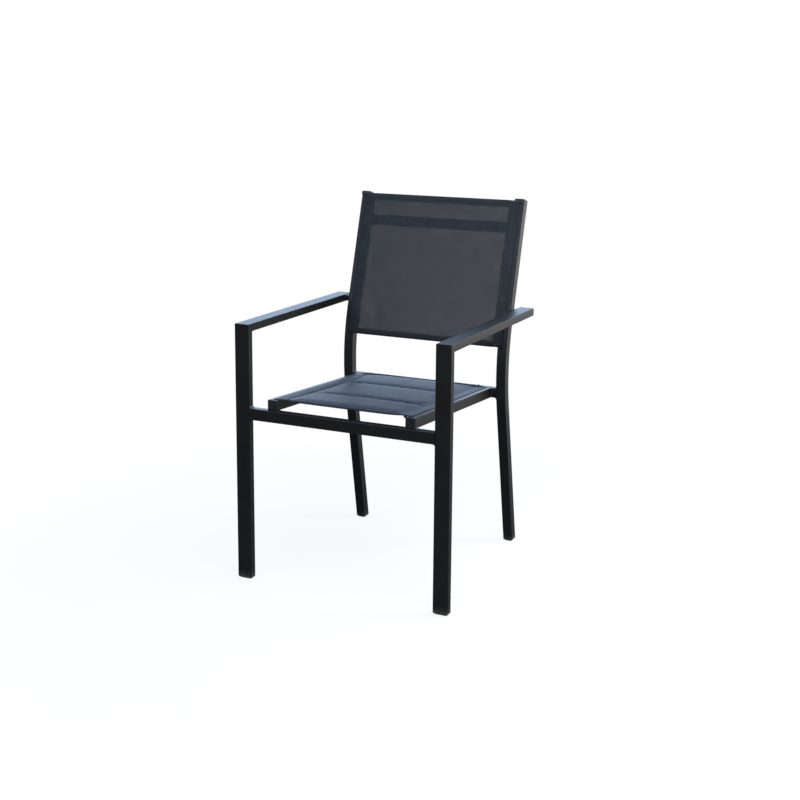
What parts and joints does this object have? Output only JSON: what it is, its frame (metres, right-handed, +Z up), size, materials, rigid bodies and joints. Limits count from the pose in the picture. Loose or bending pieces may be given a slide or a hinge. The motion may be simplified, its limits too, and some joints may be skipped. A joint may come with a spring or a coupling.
{
  "type": "sling patio chair",
  "caption": "Stacking garden armchair: a welded frame of rectangular tube and slotted rails holds a see-through mesh back sling and a padded, channelled seat sling.",
  "frame": {"origin": "on the floor, midway between the left and right armrests and midway between the front of the legs and the top of the back", "axes": "+Z up, -Y the way the sitter faces, +X to the right of someone standing in front of the chair"},
  "size_m": [0.558, 0.5942, 0.9021],
  "materials": {
    "frame": "satin black powder coat with a fine grain",
    "trim": "moulded black plastic",
    "cord": "extruded black plastic",
    "mesh": "open weave of coated yarn, see-through",
    "pad": "close weave of coated yarn over padding"
  },
  "bodies": {
    "root": {"front_leg_left": "frame", "armrest_left": "frame", "arm_spacer_left": "frame", "back_post_left": "frame", "seat_rail_left": "frame", "armrest_cap_left": "trim", "post_cap_left": "trim", "slot_filler_left": "trim", "seat_rail_cap_left": "trim", "front_glide_left": "trim", "rear_glide_left": "trim", "back_keder_left": "cord", "seat_keder_left": "cord", "front_leg_right": "frame", "armrest_right": "frame", "arm_spacer_right": "frame", "back_post_right": "frame", "seat_rail_right": "frame", "armrest_cap_right": "trim", "post_cap_right": "trim", "slot_filler_right": "trim", "seat_rail_cap_right": "trim", "front_glide_right": "trim", "rear_glide_right": "trim", "back_keder_right": "cord", "seat_keder_right": "cord", "front_crossbar": "frame", "rear_crossbar": "frame", "back_crossbar": "frame", "back_sling": "mesh", "seat_sling": "pad"}
  },
  "joints": []
}
